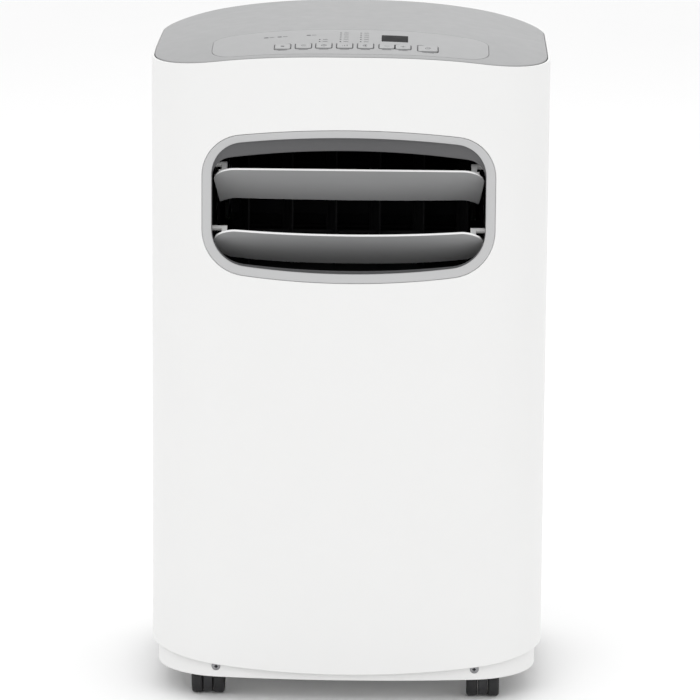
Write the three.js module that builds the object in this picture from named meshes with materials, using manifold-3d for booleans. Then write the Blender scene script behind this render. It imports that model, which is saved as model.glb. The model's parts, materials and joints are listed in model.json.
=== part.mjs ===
// Portable room air conditioner on castors. Millimetres, +Z up, front facing -Y,
// origin on the floor under the middle of the casing.
import * as THREE from 'three';
import { mergeVertices } from 'three/addons/utils/BufferGeometryUtils.js';
import Module from 'manifold-3d';

const wasm = await Module();
wasm.setup();

// ---- driving dimensions ---------------------------------------------------------
const WIDTH = 436;
const DEPTH = 345;
const FRONT_TOP = 722.5;          // height of the casing at the middle of its front edge
const TOP_RISE = 17.5;            // how far the flat rear of the lid stands above that
const TILT_DEPTH = 150;           // depth of the tilted control zone
const TOP_SAG = 25.5;             // drop of the lid from its middle to its sides
const SAG_POWER = 2.46;
const FRONT_RADIUS = 1160;        // bow of the front in plan
const REAR_RADIUS = 1338;
const FRONT_CORNER = 85;
const REAR_CORNER = 83;
const WALL = 3;
const GAP = 0.35;                 // working gap between fixed neighbours
const SEAM_Y = 20;                // where the front and rear shells meet
const SHELL_SIDE_EDGE = 52.8;     // lower edge of the shells at their sides
const SHELL_EDGE_DIP = 18.1;      // how much lower that edge is in the middle
const BASE_INSET = 6.6;
const BASE_BOTTOM = 26.4;
const FLOOR_BOTTOM = 47;
const FLOOR_TOP = 50;

const OUTLET_HALF = 159;          // outer edge of the grey outlet frame
const OUTLET_TOP = 643.4;
const OUTLET_BOTTOM = 476;
const OUTLET_BOW = 1010;
const FRAME_WIDTH = 9.7;
const FRAME_LIFT = -1.4;           // the frame is narrower along the top
const DUCT_FRONT = -154.7;
const DUCT_REAR = -56;
const BEVEL_BACK = -157.4;
const BEVEL_RETURN = 2.4;

const LOUVER_PIVOT_Y = -136;
const LOUVER_PIVOTS_Z = { upper: 599.5, lower: 529 };
const LOUVER_OPEN = 50;           // degrees from shut in the pose that is drawn
const VANE_PITCH = 48;
const VANE_PIVOT_Y = -68;
const VANE_YAW = 18.5;

const KEY_Y = -134.5;
const KEY_PROUD = 0.8;
const KEY_DEPTH = 8;

const CASTOR_X = 153;
const CASTOR_Y = 117;
const CASTOR_TRAIL = 8;
const WHEEL_RADIUS = 19;

// ---- colours --------------------------------------------------------------------
const paint = (color, roughness = 0.45, metalness = 0) =>
  new THREE.MeshStandardMaterial({ color, roughness, metalness });
const WHITE = paint(0xf2f2f0);
const LID_GREY = paint(0xb4b6b8, 0.5);
const OVERLAY_GREY = paint(0xc6c8ca, 0.35);
const FRAME_GREY = paint(0xc4c5c6);
const LOUVER_GREY = paint(0x9a9b9d);
const DARK = paint(0x1c1c1e, 0.6);
const BEVEL_GREY = paint(0x77787a, 0.55);
const STEEL = paint(0xb9bcc0, 0.35, 0.9);
const COPPER = paint(0xb87344, 0.35, 0.9);
const ALUMINIUM = paint(0xc9ccd0, 0.45, 0.8);
const GREEN = paint(0x1f6b3c, 0.5);
const KEY_GREY = paint(0xa9abad, 0.4);

// ---- solids ---------------------------------------------------------------------
function solidOf(geometry) {
  const plain = geometry.clone();
  plain.deleteAttribute('normal');
  plain.deleteAttribute('uv');
  const merged = mergeVertices(plain, 1e-4);
  return new wasm.Manifold(new wasm.Mesh({
    numProp: 3,
    vertProperties: new Float32Array(merged.attributes.position.array),
    triVerts: new Uint32Array(merged.index.array),
  }));
}

function geometryOf(solid) {
  const mesh = solid.getMesh();
  const geometry = new THREE.BufferGeometry();
  geometry.setAttribute('position', new THREE.BufferAttribute(mesh.vertProperties, mesh.numProp));
  geometry.setIndex(new THREE.BufferAttribute(mesh.triVerts, 1));
  geometry.computeVertexNormals();
  return geometry;
}

const join = (first, ...others) => others.reduce((sum, solid) => sum.add(solid), first);
const cut = (first, ...others) => others.reduce((rest, solid) => rest.subtract(solid), first);
const common = (first, ...others) => others.reduce((rest, solid) => rest.intersect(solid), first);
const P = (x, y) => new THREE.Vector2(x, y);
const degrees = THREE.MathUtils.degToRad;

// a box given by its lowest and highest corners
function box(x0, x1, y0, y1, z0, z1) {
  const geometry = new THREE.BoxGeometry(x1 - x0, y1 - y0, z1 - z0);
  geometry.translate((x0 + x1) / 2, (y0 + y1) / 2, (z0 + z1) / 2);
  return solidOf(geometry);
}

// a cylinder along 'x', 'y' or 'z' with its middle at (x, y, z)
function rod(axis, radius, length, x, y, z, sides = 24, farRadius = radius) {
  const geometry = new THREE.CylinderGeometry(farRadius, radius, length, sides);
  if (axis === 'z') geometry.rotateX(Math.PI / 2);
  if (axis === 'x') geometry.rotateZ(-Math.PI / 2);
  geometry.translate(x, y, z);
  return solidOf(geometry);
}

// extrusions of an outline along Z (outline in XY), Y (outline in XZ) or X (outline in YZ)
function extrude(axis, points, low, high, holes = []) {
  const shape = new THREE.Shape(points);
  shape.holes = holes.map((hole) => new THREE.Path(hole));
  const geometry = new THREE.ExtrudeGeometry(shape, { depth: high - low, bevelEnabled: false });
  if (axis === 'z') geometry.translate(0, 0, low);
  if (axis === 'y') geometry.rotateX(Math.PI / 2).translate(0, high, 0);
  if (axis === 'x') {
    const turn = new THREE.Matrix4().makeBasis(
      new THREE.Vector3(0, 1, 0), new THREE.Vector3(0, 0, 1), new THREE.Vector3(1, 0, 0));
    geometry.applyMatrix4(turn).translate(low, 0, 0);
  }
  return solidOf(geometry);
}

// a closed skin between loops of points, each loop joined to the next and the last to the first
function loft(loops) {
  const count = loops[0].length;
  const position = loops.flat().flatMap((point) => [point.x, point.y, point.z]);
  const index = [];
  loops.forEach((_, ring) => {
    const next = (ring + 1) % loops.length;
    for (let i = 0; i < count; i++) {
      const j = (i + 1) % count;
      const [a, b] = [ring * count + i, ring * count + j];
      const [c, d] = [next * count + i, next * count + j];
      index.push(a, d, b, a, c, d);
    }
  });
  const geometry = new THREE.BufferGeometry();
  geometry.setAttribute('position', new THREE.Float32BufferAttribute(position, 3));
  geometry.setIndex(index);
  return geometry;
}

// ---- outlines -------------------------------------------------------------------
function arc(cx, cy, radius, from, to, steps) {
  return Array.from({ length: steps + 1 }, (_, i) => {
    const angle = from + (to - from) * (i / steps);
    return P(cx + radius * Math.cos(angle), cy + radius * Math.sin(angle));
  });
}

// four-sided outline with straight sides, bowed ends and round corners, anticlockwise
function bowedOutline({ half, near, far, nearBow, farBow, nearCorner, farCorner, steps = 4 }) {
  const end = (crown, bow, corner, sign) => {
    const centre = crown - sign * bow;
    const across = half - corner;
    const cornerY = centre + sign * Math.sqrt((bow - corner) ** 2 - across ** 2);
    return { centre, across, cornerY, tilt: Math.atan2(Math.abs(cornerY - centre), across) };
  };
  const n = end(near, nearBow, nearCorner, -1);
  const f = end(far, farBow, farCorner, 1);
  const bowSteps = 2 * steps;
  const points = [
    ...arc(0, n.centre, nearBow, -Math.PI + n.tilt, -n.tilt, bowSteps),
    ...arc(n.across, n.cornerY, nearCorner, -n.tilt, 0, steps).slice(1),
    ...arc(f.across, f.cornerY, farCorner, 0, f.tilt, steps),
    ...arc(0, f.centre, farBow, f.tilt, Math.PI - f.tilt, bowSteps).slice(1),
    ...arc(-f.across, f.cornerY, farCorner, Math.PI - f.tilt, Math.PI, steps).slice(1),
    ...arc(-n.across, n.cornerY, nearCorner, Math.PI, Math.PI + n.tilt, steps),
  ];
  return points.slice(0, -1);
}

const bodyOutline = (inset) => bowedOutline({
  half: WIDTH / 2 - inset, near: -DEPTH / 2 + inset, far: DEPTH / 2 - inset,
  nearBow: FRONT_RADIUS - inset, farBow: REAR_RADIUS - inset,
  nearCorner: FRONT_CORNER - inset, farCorner: REAR_CORNER - inset, steps: 5,
});

const outletOutline = (inset, topDrop = 0, topCorner = 46) => bowedOutline({
  half: OUTLET_HALF - inset, near: OUTLET_BOTTOM + inset, far: OUTLET_TOP - inset - topDrop,
  nearBow: OUTLET_BOW - inset, farBow: OUTLET_BOW - inset,
  nearCorner: 50 - inset, farCorner: topCorner - inset,
});

const rectangle = (x0, x1, y0, y1) => [P(x0, y0), P(x1, y0), P(x1, y1), P(x0, y1)];

function roundedRectangle(x0, x1, y0, y1, radius, steps = 2) {
  const corner = (x, y, from) => arc(x, y, radius, from, from + Math.PI / 2, steps);
  return [
    ...corner(x1 - radius, y0 + radius, -Math.PI / 2),
    ...corner(x1 - radius, y1 - radius, 0),
    ...corner(x0 + radius, y1 - radius, Math.PI / 2),
    ...corner(x0 + radius, y0 + radius, Math.PI),
  ];
}

const frontY = (x) => -DEPTH / 2 + FRONT_RADIUS - Math.sqrt(FRONT_RADIUS ** 2 - x * x);
const rearY = (x) => DEPTH / 2 - REAR_RADIUS + Math.sqrt(REAR_RADIUS ** 2 - x * x);

// height of the casing's top at any point
function topHeight(x, y) {
  const left = Math.max(0, 1 - (y + DEPTH / 2) / TILT_DEPTH);
  const sag = TOP_SAG * Math.abs(x / (WIDTH / 2)) ** SAG_POWER;
  return FRONT_TOP - sag + TOP_RISE * (1 - left * left);
}
const topSlope = (y) => (2 * TOP_RISE / TILT_DEPTH) * Math.max(0, 1 - (y + DEPTH / 2) / TILT_DEPTH);

// everything below the casing's top surface moved by offset
function underTop(offset) {
  const acrossSteps = 12;
  const deepSteps = 7;
  const reach = 6;
  const xs = Array.from({ length: acrossSteps + 1 }, (_, i) => (WIDTH / 2 + reach) * (2 * i / acrossSteps - 1));
  const ys = Array.from({ length: deepSteps + 1 }, (_, i) =>
    -DEPTH / 2 - reach + (DEPTH + 2 * reach) * (i / deepSteps) ** 1.3);
  const position = [];
  const index = [];
  for (const level of [0, 1]) {
    for (const y of ys) {
      for (const x of xs) position.push(x, y, level ? topHeight(x, y) + offset : 0);
    }
  }
  const stride = xs.length;
  const layer = xs.length * ys.length;
  for (let j = 0; j < deepSteps; j++) {
    for (let i = 0; i < acrossSteps; i++) {
      const a = j * stride + i;
      const [b, c, d] = [a + 1, a + stride + 1, a + stride];
      index.push(a, c, b, a, d, c);
      index.push(layer + a, layer + b, layer + c, layer + a, layer + c, layer + d);
    }
  }
  const wall = (a, b) => index.push(a, b, layer + b, a, layer + b, layer + a);
  for (let i = 0; i < acrossSteps; i++) {
    wall(i, i + 1);
    wall(deepSteps * stride + i + 1, deepSteps * stride + i);
  }
  for (let j = 0; j < deepSteps; j++) {
    wall((j + 1) * stride, j * stride);
    wall(j * stride + acrossSteps, (j + 1) * stride + acrossSteps);
  }
  const geometry = new THREE.BufferGeometry();
  geometry.setAttribute('position', new THREE.Float32BufferAttribute(position, 3));
  geometry.setIndex(index);
  return solidOf(geometry);
}

// ---- the scene graph ------------------------------------------------------------
const unit = new THREE.Group();

function add(name, shape, material, place = [0, 0, 0], turn = [0, 0, 0]) {
  const geometry = shape.isBufferGeometry ? shape : geometryOf(shape);
  const mesh = new THREE.Mesh(geometry, material);
  mesh.name = name;
  mesh.position.set(...place);
  mesh.rotation.set(...turn);
  unit.add(mesh);
  return mesh;
}

// ---- casing ---------------------------------------------------------------------
const TALL = 760;                 // above everything
const skin = (outer, inner, z0 = 0, z1 = TALL) =>
  extrude('z', bodyOutline(outer), z0, z1, [bodyOutline(inner)]);
const top = underTop(0);

// the space under the shells' curved lower edge
const edgeHeight = (x) => SHELL_SIDE_EDGE - SHELL_EDGE_DIP * (1 - (x / (WIDTH / 2)) ** 2);
const edgeXs = Array.from({ length: 17 }, (_, i) => (WIDTH / 2 + 5) * (1 - i / 8));
const belowEdge = extrude('y',
  [P(-WIDTH / 2 - 5, -10), P(WIDTH / 2 + 5, -10), ...edgeXs.map((x) => P(x, edgeHeight(x)))], -200, 200);

const FILTER = { half: 150, bottom: 440, top: 668 };
const GRILLE = { half: 150, bottom: 92, top: 236 };
const COLLAR = { z: 335, radius: 74 };
const GLAND = { x: 112, z: 300, radius: 9 };
const UPPER_DRAIN = { x: -112, z: 300, radius: 13 };
const LOWER_DRAIN = { x: 0, z: 66, radius: 11 };
const GRIP = { near: 28, far: 106, bottom: 558, top: 592, deep: 26 };

const casing = common(skin(0, WALL), top.subtract(belowEdge));
const openRear = (spec, gap) => extrude('y', roundedRectangle(
  -spec.half - gap, spec.half + gap, spec.bottom - gap, spec.top + gap, 10 + gap), 120, 180);

function gripPocket(side) {
  const inside = WIDTH / 2 - GRIP.deep;
  const xs = [inside, WIDTH / 2 + 4].map((x) => side * x).sort((a, b) => a - b);
  const outerXs = [inside - WALL, WIDTH / 2 - 1].map((x) => side * x).sort((a, b) => a - b);
  return {
    shell: box(...outerXs, GRIP.near - WALL, GRIP.far + WALL, GRIP.bottom - WALL, GRIP.top + WALL),
    hollow: box(...xs, GRIP.near, GRIP.far, GRIP.bottom, GRIP.top),
  };
}

const frontHalf = box(-230, 230, -180, SEAM_Y - 0.2, 0, TALL);
const rearHalf = box(-230, 230, SEAM_Y + 0.2, 180, 0, TALL);
const insideBody = extrude('z', bodyOutline(0.6), 0, TALL);

add('front_shell', cut(common(casing, frontHalf), extrude('y', outletOutline(-GAP), -180, -120)), WHITE);

const grips = [-1, 1].map(gripPocket);
const gripShells = join(...grips.map((grip) => common(grip.shell, insideBody)));
add('rear_shell', cut(join(common(casing, rearHalf), common(gripShells, rearHalf)),
  ...grips.map((grip) => grip.hollow), openRear(FILTER, GAP), openRear(GRILLE, GAP),
  rod('y', COLLAR.radius + GAP, 60, 0, 160, COLLAR.z, 32),
  rod('y', GLAND.radius + GAP, 60, GLAND.x, 160, GLAND.z, 16),
  rod('y', UPPER_DRAIN.radius + GAP, 60, UPPER_DRAIN.x, 160, UPPER_DRAIN.z, 20),
  rod('y', LOWER_DRAIN.radius + GAP, 60, LOWER_DRAIN.x, 160, LOWER_DRAIN.z, 20)), WHITE);

// ---- lid, control film and keys -------------------------------------------------
const LID_INSET = WALL + 0.5;
const LID_THICK = 4.5;
const FILM_THICK = 1.2;
const keyCell = (x, half, deep) => ({ x, half, deep });
const KEYS = {
  key_mode: keyCell(-73, 8.2, 8.2), key_swing: keyCell(-50.5, 8.2, 8.2),
  key_timer: keyCell(-28.5, 8.2, 8.2), key_speed: keyCell(-6, 8.2, 8.2),
  key_sleep: keyCell(16.5, 8.2, 8.2), key_minus: keyCell(39.5, 8, 7.2),
  key_plus: keyCell(57, 8, 7.2), key_power: keyCell(83.8, 10.5, 9.4),
};
const keyTilt = Math.atan(topSlope(KEY_Y));
const filmOutline = (inset) => bowedOutline({
  half: 150 - inset, near: -160.5 + inset, far: -66 - inset,
  nearBow: FRONT_RADIUS - inset, farBow: 1300 - inset, nearCorner: 28 - inset, farCorner: 24 - inset,
});
const DISPLAY = rectangle(33.5, 62.3, -116.3, -90.5);

function keySolid({ half, deep }, gap, top, bottom) {
  return extrude('z', roundedRectangle(-half - gap, half + gap, -deep - gap, deep + gap, 2 + gap, 1),
    bottom, top);
}
const keyPlace = ({ x }) => [x, KEY_Y, topHeight(x, KEY_Y)];
function keyWell(key) {
  const well = keySolid(key, GAP, 8, -16).rotate([THREE.MathUtils.radToDeg(keyTilt), 0, 0]);
  return well.translate(keyPlace(key));
}
const wells = join(...Object.values(KEYS).map(keyWell));
const lidBand = cut(top, underTop(-LID_THICK));
const filmBand = cut(top, underTop(-FILM_THICK));
const lidBlock = extrude('z', bodyOutline(LID_INSET), 600, TALL);
const filmPocket = common(extrude('z', filmOutline(0), 600, TALL), cut(underTop(1), underTop(-FILM_THICK - GAP)));
add('top_panel', cut(common(lidBand, lidBlock), filmPocket, wells), LID_GREY);
add('control_film', cut(common(filmBand, extrude('z', filmOutline(GAP), 600, TALL, [DISPLAY])), wells),
  OVERLAY_GREY);
add('display_window', common(filmBand, extrude('z', rectangle(33.9, 61.9, -115.9, -90.9), 600, TALL)),
  paint(0x0b0b0d, 0.15));
for (const [name, key] of Object.entries(KEYS)) {
  add(name, keySolid(key, 0, KEY_PROUD, -KEY_DEPTH), KEY_GREY, keyPlace(key), [keyTilt, 0, 0]);
}
add('control_board', box(-96, 100, -24, 24, -0.8, 0.8), GREEN,
  [0, KEY_Y, topHeight(0, KEY_Y) - 13.5], [keyTilt, 0, 0]);

// ---- base and castors -----------------------------------------------------------
const castorSpots = [-1, 1].flatMap((sx) => [-1, 1].map((sy) => [sx * CASTOR_X, sy * CASTOR_Y]));
const STEM_RADIUS = 5;
const SCREW = { x: 143, z: 39 };
const screwY = frontY(SCREW.x) + BASE_INSET;
const baseSkirt = skin(BASE_INSET, BASE_INSET + WALL, BASE_BOTTOM, FLOOR_TOP);
const baseFloor = extrude('z', bodyOutline(BASE_INSET + 1), FLOOR_BOTTOM, FLOOR_TOP);
const sockets = castorSpots.map(([x, y]) => rod('z', STEM_RADIUS + 4, 14, x, y, FLOOR_TOP + 6, 8));
const screwBosses = [-1, 1].map((side) => rod('y', 6, 10, side * SCREW.x, screwY + 6, SCREW.z, 8));
add('base_pan', cut(join(baseSkirt, baseFloor, ...sockets, ...screwBosses),
  ...castorSpots.map(([x, y]) => rod('z', STEM_RADIUS + 0.4, 40, x, y, FLOOR_TOP, 12)),
  ...[-1, 1].map((side) => rod('y', 2.6, 40, side * SCREW.x, screwY + 2, SCREW.z, 8)),
  ...[-1, 1].map((side) => rod('y', 5.6, 6.4, side * SCREW.x, screwY - 1.9, SCREW.z, 12))), WHITE);

const screwProfile = [P(0, 0), P(2.2, 0), P(2.2, 9), P(5.2, 9), P(5.2, 10.4), P(3.6, 11.6), P(0, 11.9)];
const screwShape = cut(solidOf(new THREE.LatheGeometry(screwProfile, 12)),
  box(-2.6, 2.6, 10.3, 13, -0.6, 0.6), box(-0.6, 0.6, 10.3, 13, -2.6, 2.6));
for (const [side, word] of [[-1, 'left'], [1, 'right']]) {
  add(`base_screw_${word}`, screwShape, STEEL,
    [side * SCREW.x, screwY + 10, SCREW.z], [Math.PI, 0, 0]);
}

function castorHousing() {
  const web = extrude('x', [P(-14, 39.5), P(-12, 16), P(-6, 10), P(1, 12), P(12, 39.5)], -5.2, 5.2);
  const hood = extrude('z', roundedRectangle(-18, 18, -24, 13, 9), 39.4, 42.4);
  return cut(join(web, hood, rod('z', STEM_RADIUS + 3, 4, 0, 0, 44.2, 12), rod('z', STEM_RADIUS, 22, 0, 0, 52, 12)),
    rod('x', 3.2, 20, 0, -CASTOR_TRAIL, WHEEL_RADIUS, 10));
}
function castorWheels() {
  const tyre = (side) => rod('x', WHEEL_RADIUS, 12.4, side * 12, 0, 0, 20);
  return join(tyre(-1), tyre(1), rod('x', 2.6, 14, 0, 0, 0, 10));
}
const housingShape = castorHousing();
const wheelShape = castorWheels();
castorSpots.forEach(([x, y]) => {
  const word = `${y < 0 ? 'front' : 'rear'}_${x < 0 ? 'left' : 'right'}`;
  add(`castor_housing_${word}`, housingShape, DARK, [x, y, 0]);
  add(`castor_wheels_${word}`, wheelShape, DARK, [x, y - CASTOR_TRAIL, WHEEL_RADIUS]);
});

// ---- air outlet -----------------------------------------------------------------
const frame = extrude('y', outletOutline(0), -180, -120, [outletOutline(FRAME_WIDTH, FRAME_LIFT)]);
add('outlet_frame', common(frame, skin(0, 3.8)), FRAME_GREY);

const BEVEL_DROP = 13.4;
const BEVEL_SKIN = 2;
const BEVEL_FRONT = 5.6;
const BEVEL_CORNER = 33;
const onFront = (points, inset) => points.map((p) => new THREE.Vector3(p.x, frontY(p.x) + inset, p.y));
// the back edge steps forward over the louver's path and returns at the sides
const bevelBack = (x) => BEVEL_BACK + BEVEL_RETURN * Math.min(1, Math.max(0, (Math.abs(x) - 139) / 9));
const onPlane = (points) => points.map((p) => new THREE.Vector3(p.x, bevelBack(p.x), p.y));
add('outlet_bevel', loft([
  onFront(outletOutline(FRAME_WIDTH - BEVEL_SKIN, FRAME_LIFT), BEVEL_FRONT),
  onPlane(outletOutline(FRAME_WIDTH + 1.2 - BEVEL_SKIN, BEVEL_DROP, BEVEL_CORNER)),
  onPlane(outletOutline(FRAME_WIDTH + 1.2, BEVEL_DROP, BEVEL_CORNER)),
  onFront(outletOutline(FRAME_WIDTH, FRAME_LIFT), BEVEL_FRONT),
]), BEVEL_GREY);

const ductInside = roundedRectangle(-150, 150, 478, 632, 6);
const ductOutside = roundedRectangle(-152.5, 152.5, 475.5, 634.5, 8);
const pivotHole = (z) => rod('x', 3.4, 330, 0, LOUVER_PIVOT_Y, z, 10);
const vaneXs = Array.from({ length: 6 }, (_, i) => VANE_PITCH * (i - 2.5));
const VANE_PIN = 2;
const vaneHoles = vaneXs.map((x) => rod('z', VANE_PIN + 0.35, 170, x, VANE_PIVOT_Y, 555, 8));
add('outlet_duct', cut(extrude('y', ductOutside, DUCT_FRONT, DUCT_REAR, [ductInside]),
  pivotHole(LOUVER_PIVOTS_Z.upper), pivotHole(LOUVER_PIVOTS_Z.lower), ...vaneHoles), DARK);

// louvers: drawn shut around their pivot, then turned open
const BLADE_FACE = -17;
const BLADE_THICK = 2.4;
const BLADE_TOP = 17.5;
const bladeCorner = (side, top) => arc(side * 122.8, top - 24, 24, side > 0 ? 0 : Math.PI / 2,
  side > 0 ? Math.PI / 2 : Math.PI, 4);
const upperFace = [
  P(-142, -52), P(-133, -46.5), P(-127, -44.5), P(0, -46.8), P(127, -44.5), P(133, -46.5), P(142, -52),
  ...bladeCorner(1, BLADE_TOP), ...bladeCorner(-1, BLADE_TOP),
];
// the lower one is bowed along both edges
const bowedEdge = (xs, z) => xs.map((x) => P(x, z(x)));
const lowerFace = [
  ...bowedEdge([-130, -100, -60, -20, 20, 60, 100, 130], (x) => -46 + 12 * Math.abs(x / 130) ** 2.6),
  P(142, -18), ...bladeCorner(1, 23),
  ...bowedEdge([90, 50, 0, -50, -90], (x) => 14.3 + 8.7 * (x / 122.8) ** 2),
  ...bladeCorner(-1, 23), P(-142, -18),
];
const carrier = join(
  box(-141, 141, BLADE_FACE + BLADE_THICK + GAP, BLADE_FACE + 7, 2, 6),
  ...[-1, 1].map((side) => {
    const xs = [side * 132.5, side * 138.5].sort((a, b) => a - b);
    return join(box(...xs, BLADE_FACE + BLADE_THICK + GAP, 0, -3, 3), rod('x', 3, 25.5, side * 145.25, 0, 0, 10));
  }),
  box(153.4, 157, -3, 3, -3, 16), rod('x', 2, 8, 158, 0, 14, 8));
for (const [word, face] of [['upper', upperFace], ['lower', lowerFace]]) {
  const place = [0, LOUVER_PIVOT_Y, LOUVER_PIVOTS_Z[word]];
  const turn = [degrees(LOUVER_OPEN), 0, 0];
  add(`${word}_louver_blade`, extrude('y', face, BLADE_FACE, BLADE_FACE + BLADE_THICK), LOUVER_GREY, place, turn);
  add(`${word}_louver_carrier`, carrier, WHITE, place, turn);
}

// rod between the two louver cranks, outside the duct wall
const crankSwing = degrees(90 + LOUVER_OPEN);
const crankEnd = { y: LOUVER_PIVOT_Y + 14 * Math.cos(crankSwing), lift: 14 * Math.sin(crankSwing) };
const linkLow = LOUVER_PIVOTS_Z.lower + crankEnd.lift;
const linkHigh = LOUVER_PIVOTS_Z.upper + crankEnd.lift;
add('louver_link_rod', cut(
  box(158.4, 161, crankEnd.y - 4.5, crankEnd.y + 4.5, linkLow - 6, linkHigh + 6),
  rod('x', 2.5, 20, 160, crankEnd.y, linkLow, 12), rod('x', 2.5, 20, 160, crankEnd.y, linkHigh, 12)), DARK);
add('louver_motor', join(rod('x', 12, 14, 172, LOUVER_PIVOT_Y + 6, LOUVER_PIVOTS_Z.upper, 20),
  box(170, 173, LOUVER_PIVOT_Y - 12, LOUVER_PIVOT_Y + 24, LOUVER_PIVOTS_Z.upper - 5, LOUVER_PIVOTS_Z.upper + 5)), STEEL);

// upright vanes and the bar that ties them together
const VANE = { front: -30, rear: 6, bottom: 482, top: 628 };
const TIE = { y: -20, z: 520 };
const vane = cut(join(box(-0.9, 0.9, VANE.front, VANE.rear, VANE.bottom, VANE.top),
  rod('z', VANE_PIN, VANE.top - VANE.bottom + 8, 0, 0, (VANE.top + VANE.bottom) / 2, 8),
  rod('z', 1.4, 12, 0, TIE.y, TIE.z, 6)),
  box(-5, 5, TIE.y - 3.8, TIE.y + 3.8, TIE.z - 4, TIE.z - 0.5).subtract(rod('z', 1.4, 12, 0, TIE.y, TIE.z, 6)));
vaneXs.forEach((x, i) => add(`vane_${i + 1}`, vane, DARK, [x, VANE_PIVOT_Y, 0], [0, 0, degrees(VANE_YAW)]));
const tieX = -TIE.y * Math.sin(degrees(VANE_YAW));
const tieY = VANE_PIVOT_Y + TIE.y * Math.cos(degrees(VANE_YAW));
add('vane_tie_bar', cut(join(
  box(vaneXs[0] + tieX - 5, vaneXs[5] + tieX + 5, tieY - 2.6, tieY + 2.6, TIE.z - 3.6, TIE.z - 0.9),
  box(-12, -5, tieY - 12, tieY - 2, TIE.z - 3.6, TIE.z - 0.9)),
  ...vaneXs.map((x) => rod('z', 1.75, 12, x + tieX, tieY, TIE.z, 12))), DARK);

// ---- room-air side --------------------------------------------------------------
const WHEEL = { y: 0, z: 548, radius: 48, half: 132 };
const blowerWheel = cut(
  rod('x', WHEEL.radius, 2 * WHEEL.half, 0, 0, 0, 16),
  rod('x', WHEEL.radius - 9, 2 * WHEEL.half - 8, 0, 0, 0, 16),
  ...Array.from({ length: 8 }, (_, i) => box(-WHEEL.half + 4, WHEEL.half - 4, -3.6, 3.6, 20, 60)
    .rotate([45 * i, 0, 0])));
add('blower_wheel', join(blowerWheel, rod('x', 5, 2 * WHEEL.half + 36, 10, 0, 0, 12)), DARK,
  [0, WHEEL.y, WHEEL.z]);

const housingSide = [P(-55.6, 478), P(-55.6, 634), P(20, 634), P(58, 618), P(66, 590), P(66, 500), P(40, 478)];
const housingInside = [P(-70, 480.5), P(-70, 631.5), P(19, 631.5), P(54, 616), P(80, 616), P(80, 503),
  P(63, 503), P(39, 480.5)];
add('blower_housing', cut(extrude('x', housingSide, -147, 147), extrude('x', housingInside, -144.5, 144.5),
  rod('x', 8, 400, 0, WHEEL.y, WHEEL.z, 20)), DARK);
add('blower_motor', cut(join(rod('x', 34, 28, 171, WHEEL.y, WHEEL.z, 24),
  box(154, 158, -20, 20, WHEEL.z - 44, WHEEL.z + 44)), rod('x', 7, 30, 156, WHEEL.y, WHEEL.z, 16)), STEEL);

function coil(bottom, top) {
  const fins = Array.from({ length: 5 }, (_, i) => box(-141 + 70 * i - 1, -141 + 70 * i + 1, 90, 120, bottom, top));
  const tubes = [0.15, 0.38, 0.62, 0.85].map((part) =>
    rod('x', 4, 296, 0, 105, bottom + part * (top - bottom), 6));
  return join(box(-141, 141, 98, 112, bottom, top), ...fins, ...tubes);
}
add('evaporator_coil', coil(446, 636), ALUMINIUM);

// tray between the cold upper and the hot lower half
const tray = extrude('z', bodyOutline(16), 414, 432);
const trayHollow = extrude('z', bodyOutline(19), 417, 440);
add('drain_tray', cut(tray, trayHollow, rod('z', 8, 60, 160, 60, 415, 16)), WHITE);

// ---- outdoor-air side -----------------------------------------------------------
add('condenser_coil', coil(66, 256), ALUMINIUM);
const FAN = { x: -85, y: 30, z: 170, radius: 62, half: 26 };
const fanWheel = cut(rod('y', FAN.radius, 2 * FAN.half, 0, 0, 0, 20), rod('y', FAN.radius - 16, 60, 0, 6, 0, 20),
  ...Array.from({ length: 8 }, (_, i) => box(-4.5, 4.5, -FAN.half + 4, FAN.half - 3, 42, 72)
    .rotate([0, 45 * i, 0])));
add('condenser_fan', join(fanWheel, rod('y', 12, 20, 0, -FAN.half + 10, 0, 16), rod('y', 4, 60, 0, -30, 0, 12)),
  DARK, [FAN.x, FAN.y, FAN.z]);
const fanBox = [P(-165, 95), P(-165, 265), P(-76, 392), P(76, 392), P(76, 270), P(-5, 245), P(-5, 95)];
const fanHollow = [P(-162, 98), P(-162, 264), P(-74, 389), P(73, 389), P(73, 272), P(-8, 248), P(-8, 98)];
add('exhaust_housing', cut(extrude('y', fanBox, -2, 72), extrude('y', fanHollow, 1, 69),
  rod('y', 44, 20, FAN.x, 72, FAN.z, 28), rod('y', 9, 20, FAN.x, -2, FAN.z, 16),
  box(-60, 60, 60, 90, 280, 386)), DARK);
add('condenser_fan_motor', cut(join(rod('y', 32, 46, FAN.x, -34, FAN.z, 24), box(FAN.x - 46, FAN.x + 46, -11, -7, 155, 185)),
  rod('y', 4.5, 60, FAN.x, -8, FAN.z, 12)), STEEL);
const collarRing = cut(rod('y', COLLAR.radius, 96, 0, 124, COLLAR.z, 32), rod('y', COLLAR.radius - 5, 120, 0, 124, COLLAR.z, 32));
add('exhaust_collar', common(collarRing, box(-90, 90, 72.4, 171.5, 250, 420)), WHITE);

const COMPRESSOR = { x: 92, y: 5, radius: 58 };
add('compressor', join(
  rod('z', COMPRESSOR.radius, 150, COMPRESSOR.x, COMPRESSOR.y, 140, 18),
  rod('z', COMPRESSOR.radius, 14, COMPRESSOR.x, COMPRESSOR.y, 222, 18, 34),
  rod('z', 40, 14, COMPRESSOR.x, COMPRESSOR.y, 59, 18, COMPRESSOR.radius),
  box(30, 154, -57, 67, 50.4, 54.4), rod('z', 6, 20, COMPRESSOR.x, COMPRESSOR.y, 235, 12)), DARK);

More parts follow.
